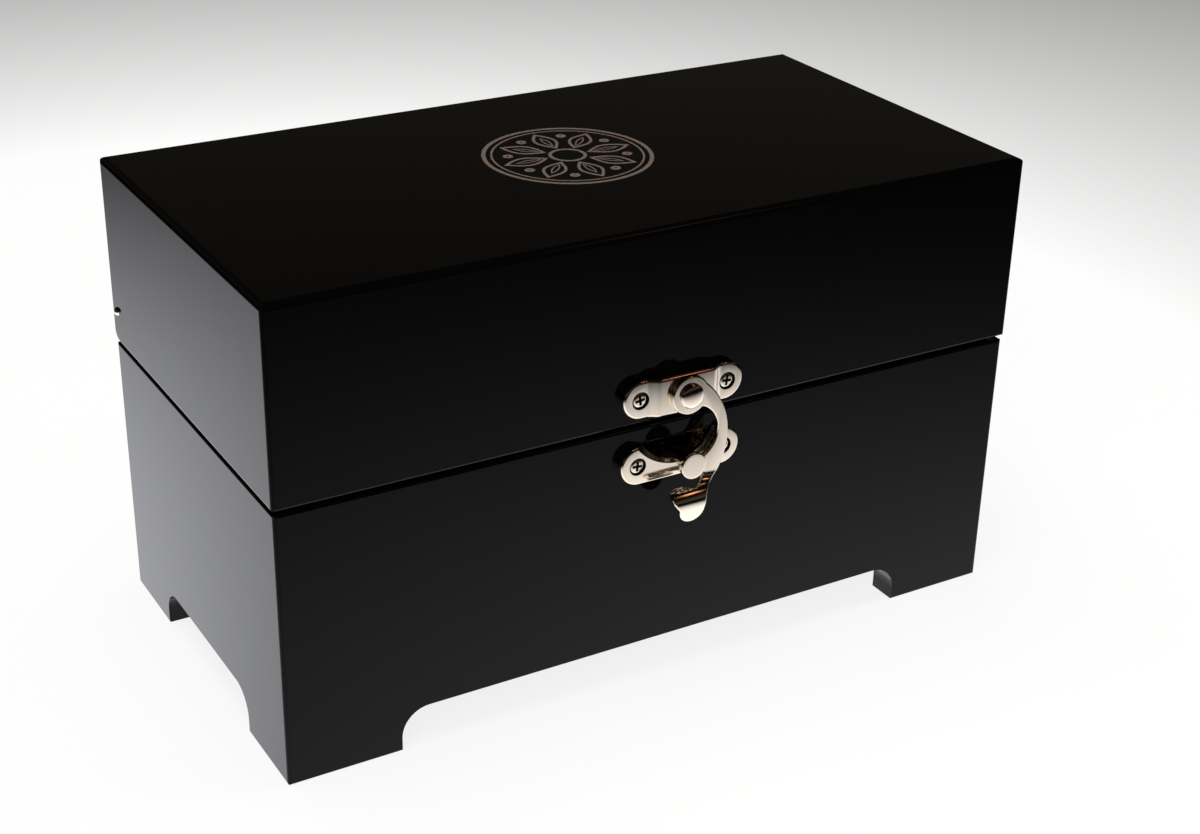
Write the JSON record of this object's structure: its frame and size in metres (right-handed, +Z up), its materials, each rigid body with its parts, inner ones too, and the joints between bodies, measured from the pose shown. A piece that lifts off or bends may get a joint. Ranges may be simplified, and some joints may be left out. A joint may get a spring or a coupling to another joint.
{
  "type": "lidded tea bag organizer box",
  "caption": "Lacquered storage box for tea bags on bracket feet, with a pin-hinged lid, lined compartments and a swing-hook latch on the front",
  "frame": {"origin": "middle of the box's footprint on the table, with the latch counted in the depth", "axes": "+X to the right seen from the latch side, +Y to the back (the hinge side), +Z up"},
  "size_m": [0.2278, 0.128, 0.1335],
  "materials": {
    "lacquer": "black piano lacquer on fibreboard",
    "lining_board": "boards covered with champagne velour",
    "felt": "wool felt",
    "nickel": "warm nickel plate"
  },
  "bodies": {
    "box": {"body_front_wall": "lacquer", "body_back_wall": "lacquer", "body_left_wall": "lacquer", "body_right_wall": "lacquer", "bottom_panel": "lacquer", "floor_lining": "felt", "body_liner_front": "lining_board", "body_liner_back": "lining_board", "body_liner_left": "lining_board", "body_liner_right": "lining_board", "divider_left": "lining_board", "divider_right": "lining_board", "catch_plate": "nickel", "catch_post": "nickel", "catch_screws": "nickel"},
    "lid": {"lid_front_wall": "lacquer", "lid_back_wall": "lacquer", "lid_left_wall": "lacquer", "lid_right_wall": "lacquer", "lid_top_panel": "lacquer", "lid_liner_front": "lining_board", "lid_liner_back": "lining_board", "lid_liner_left": "lining_board", "lid_liner_right": "lining_board", "hinge_pins": "nickel", "latch_plate": "nickel", "latch_screws": "nickel", "latch_rivet": "nickel"},
    "hook": {"latch_hook": "nickel"}
  },
  "joints": [
    {"name": "lid_hinge", "type": "hinge", "parent": "box", "child": "lid", "pos_m": [0, 0.05955, 0.0895], "axis": [-1, 0, 0], "range_deg": [0, 95]},
    {"name": "hook_swing", "type": "hinge", "parent": "lid", "child": "hook", "pos_m": [0.0013, -0.05813, 0.088], "axis": [0, -1, 0], "range_deg": [0, 90]}
  ]
}
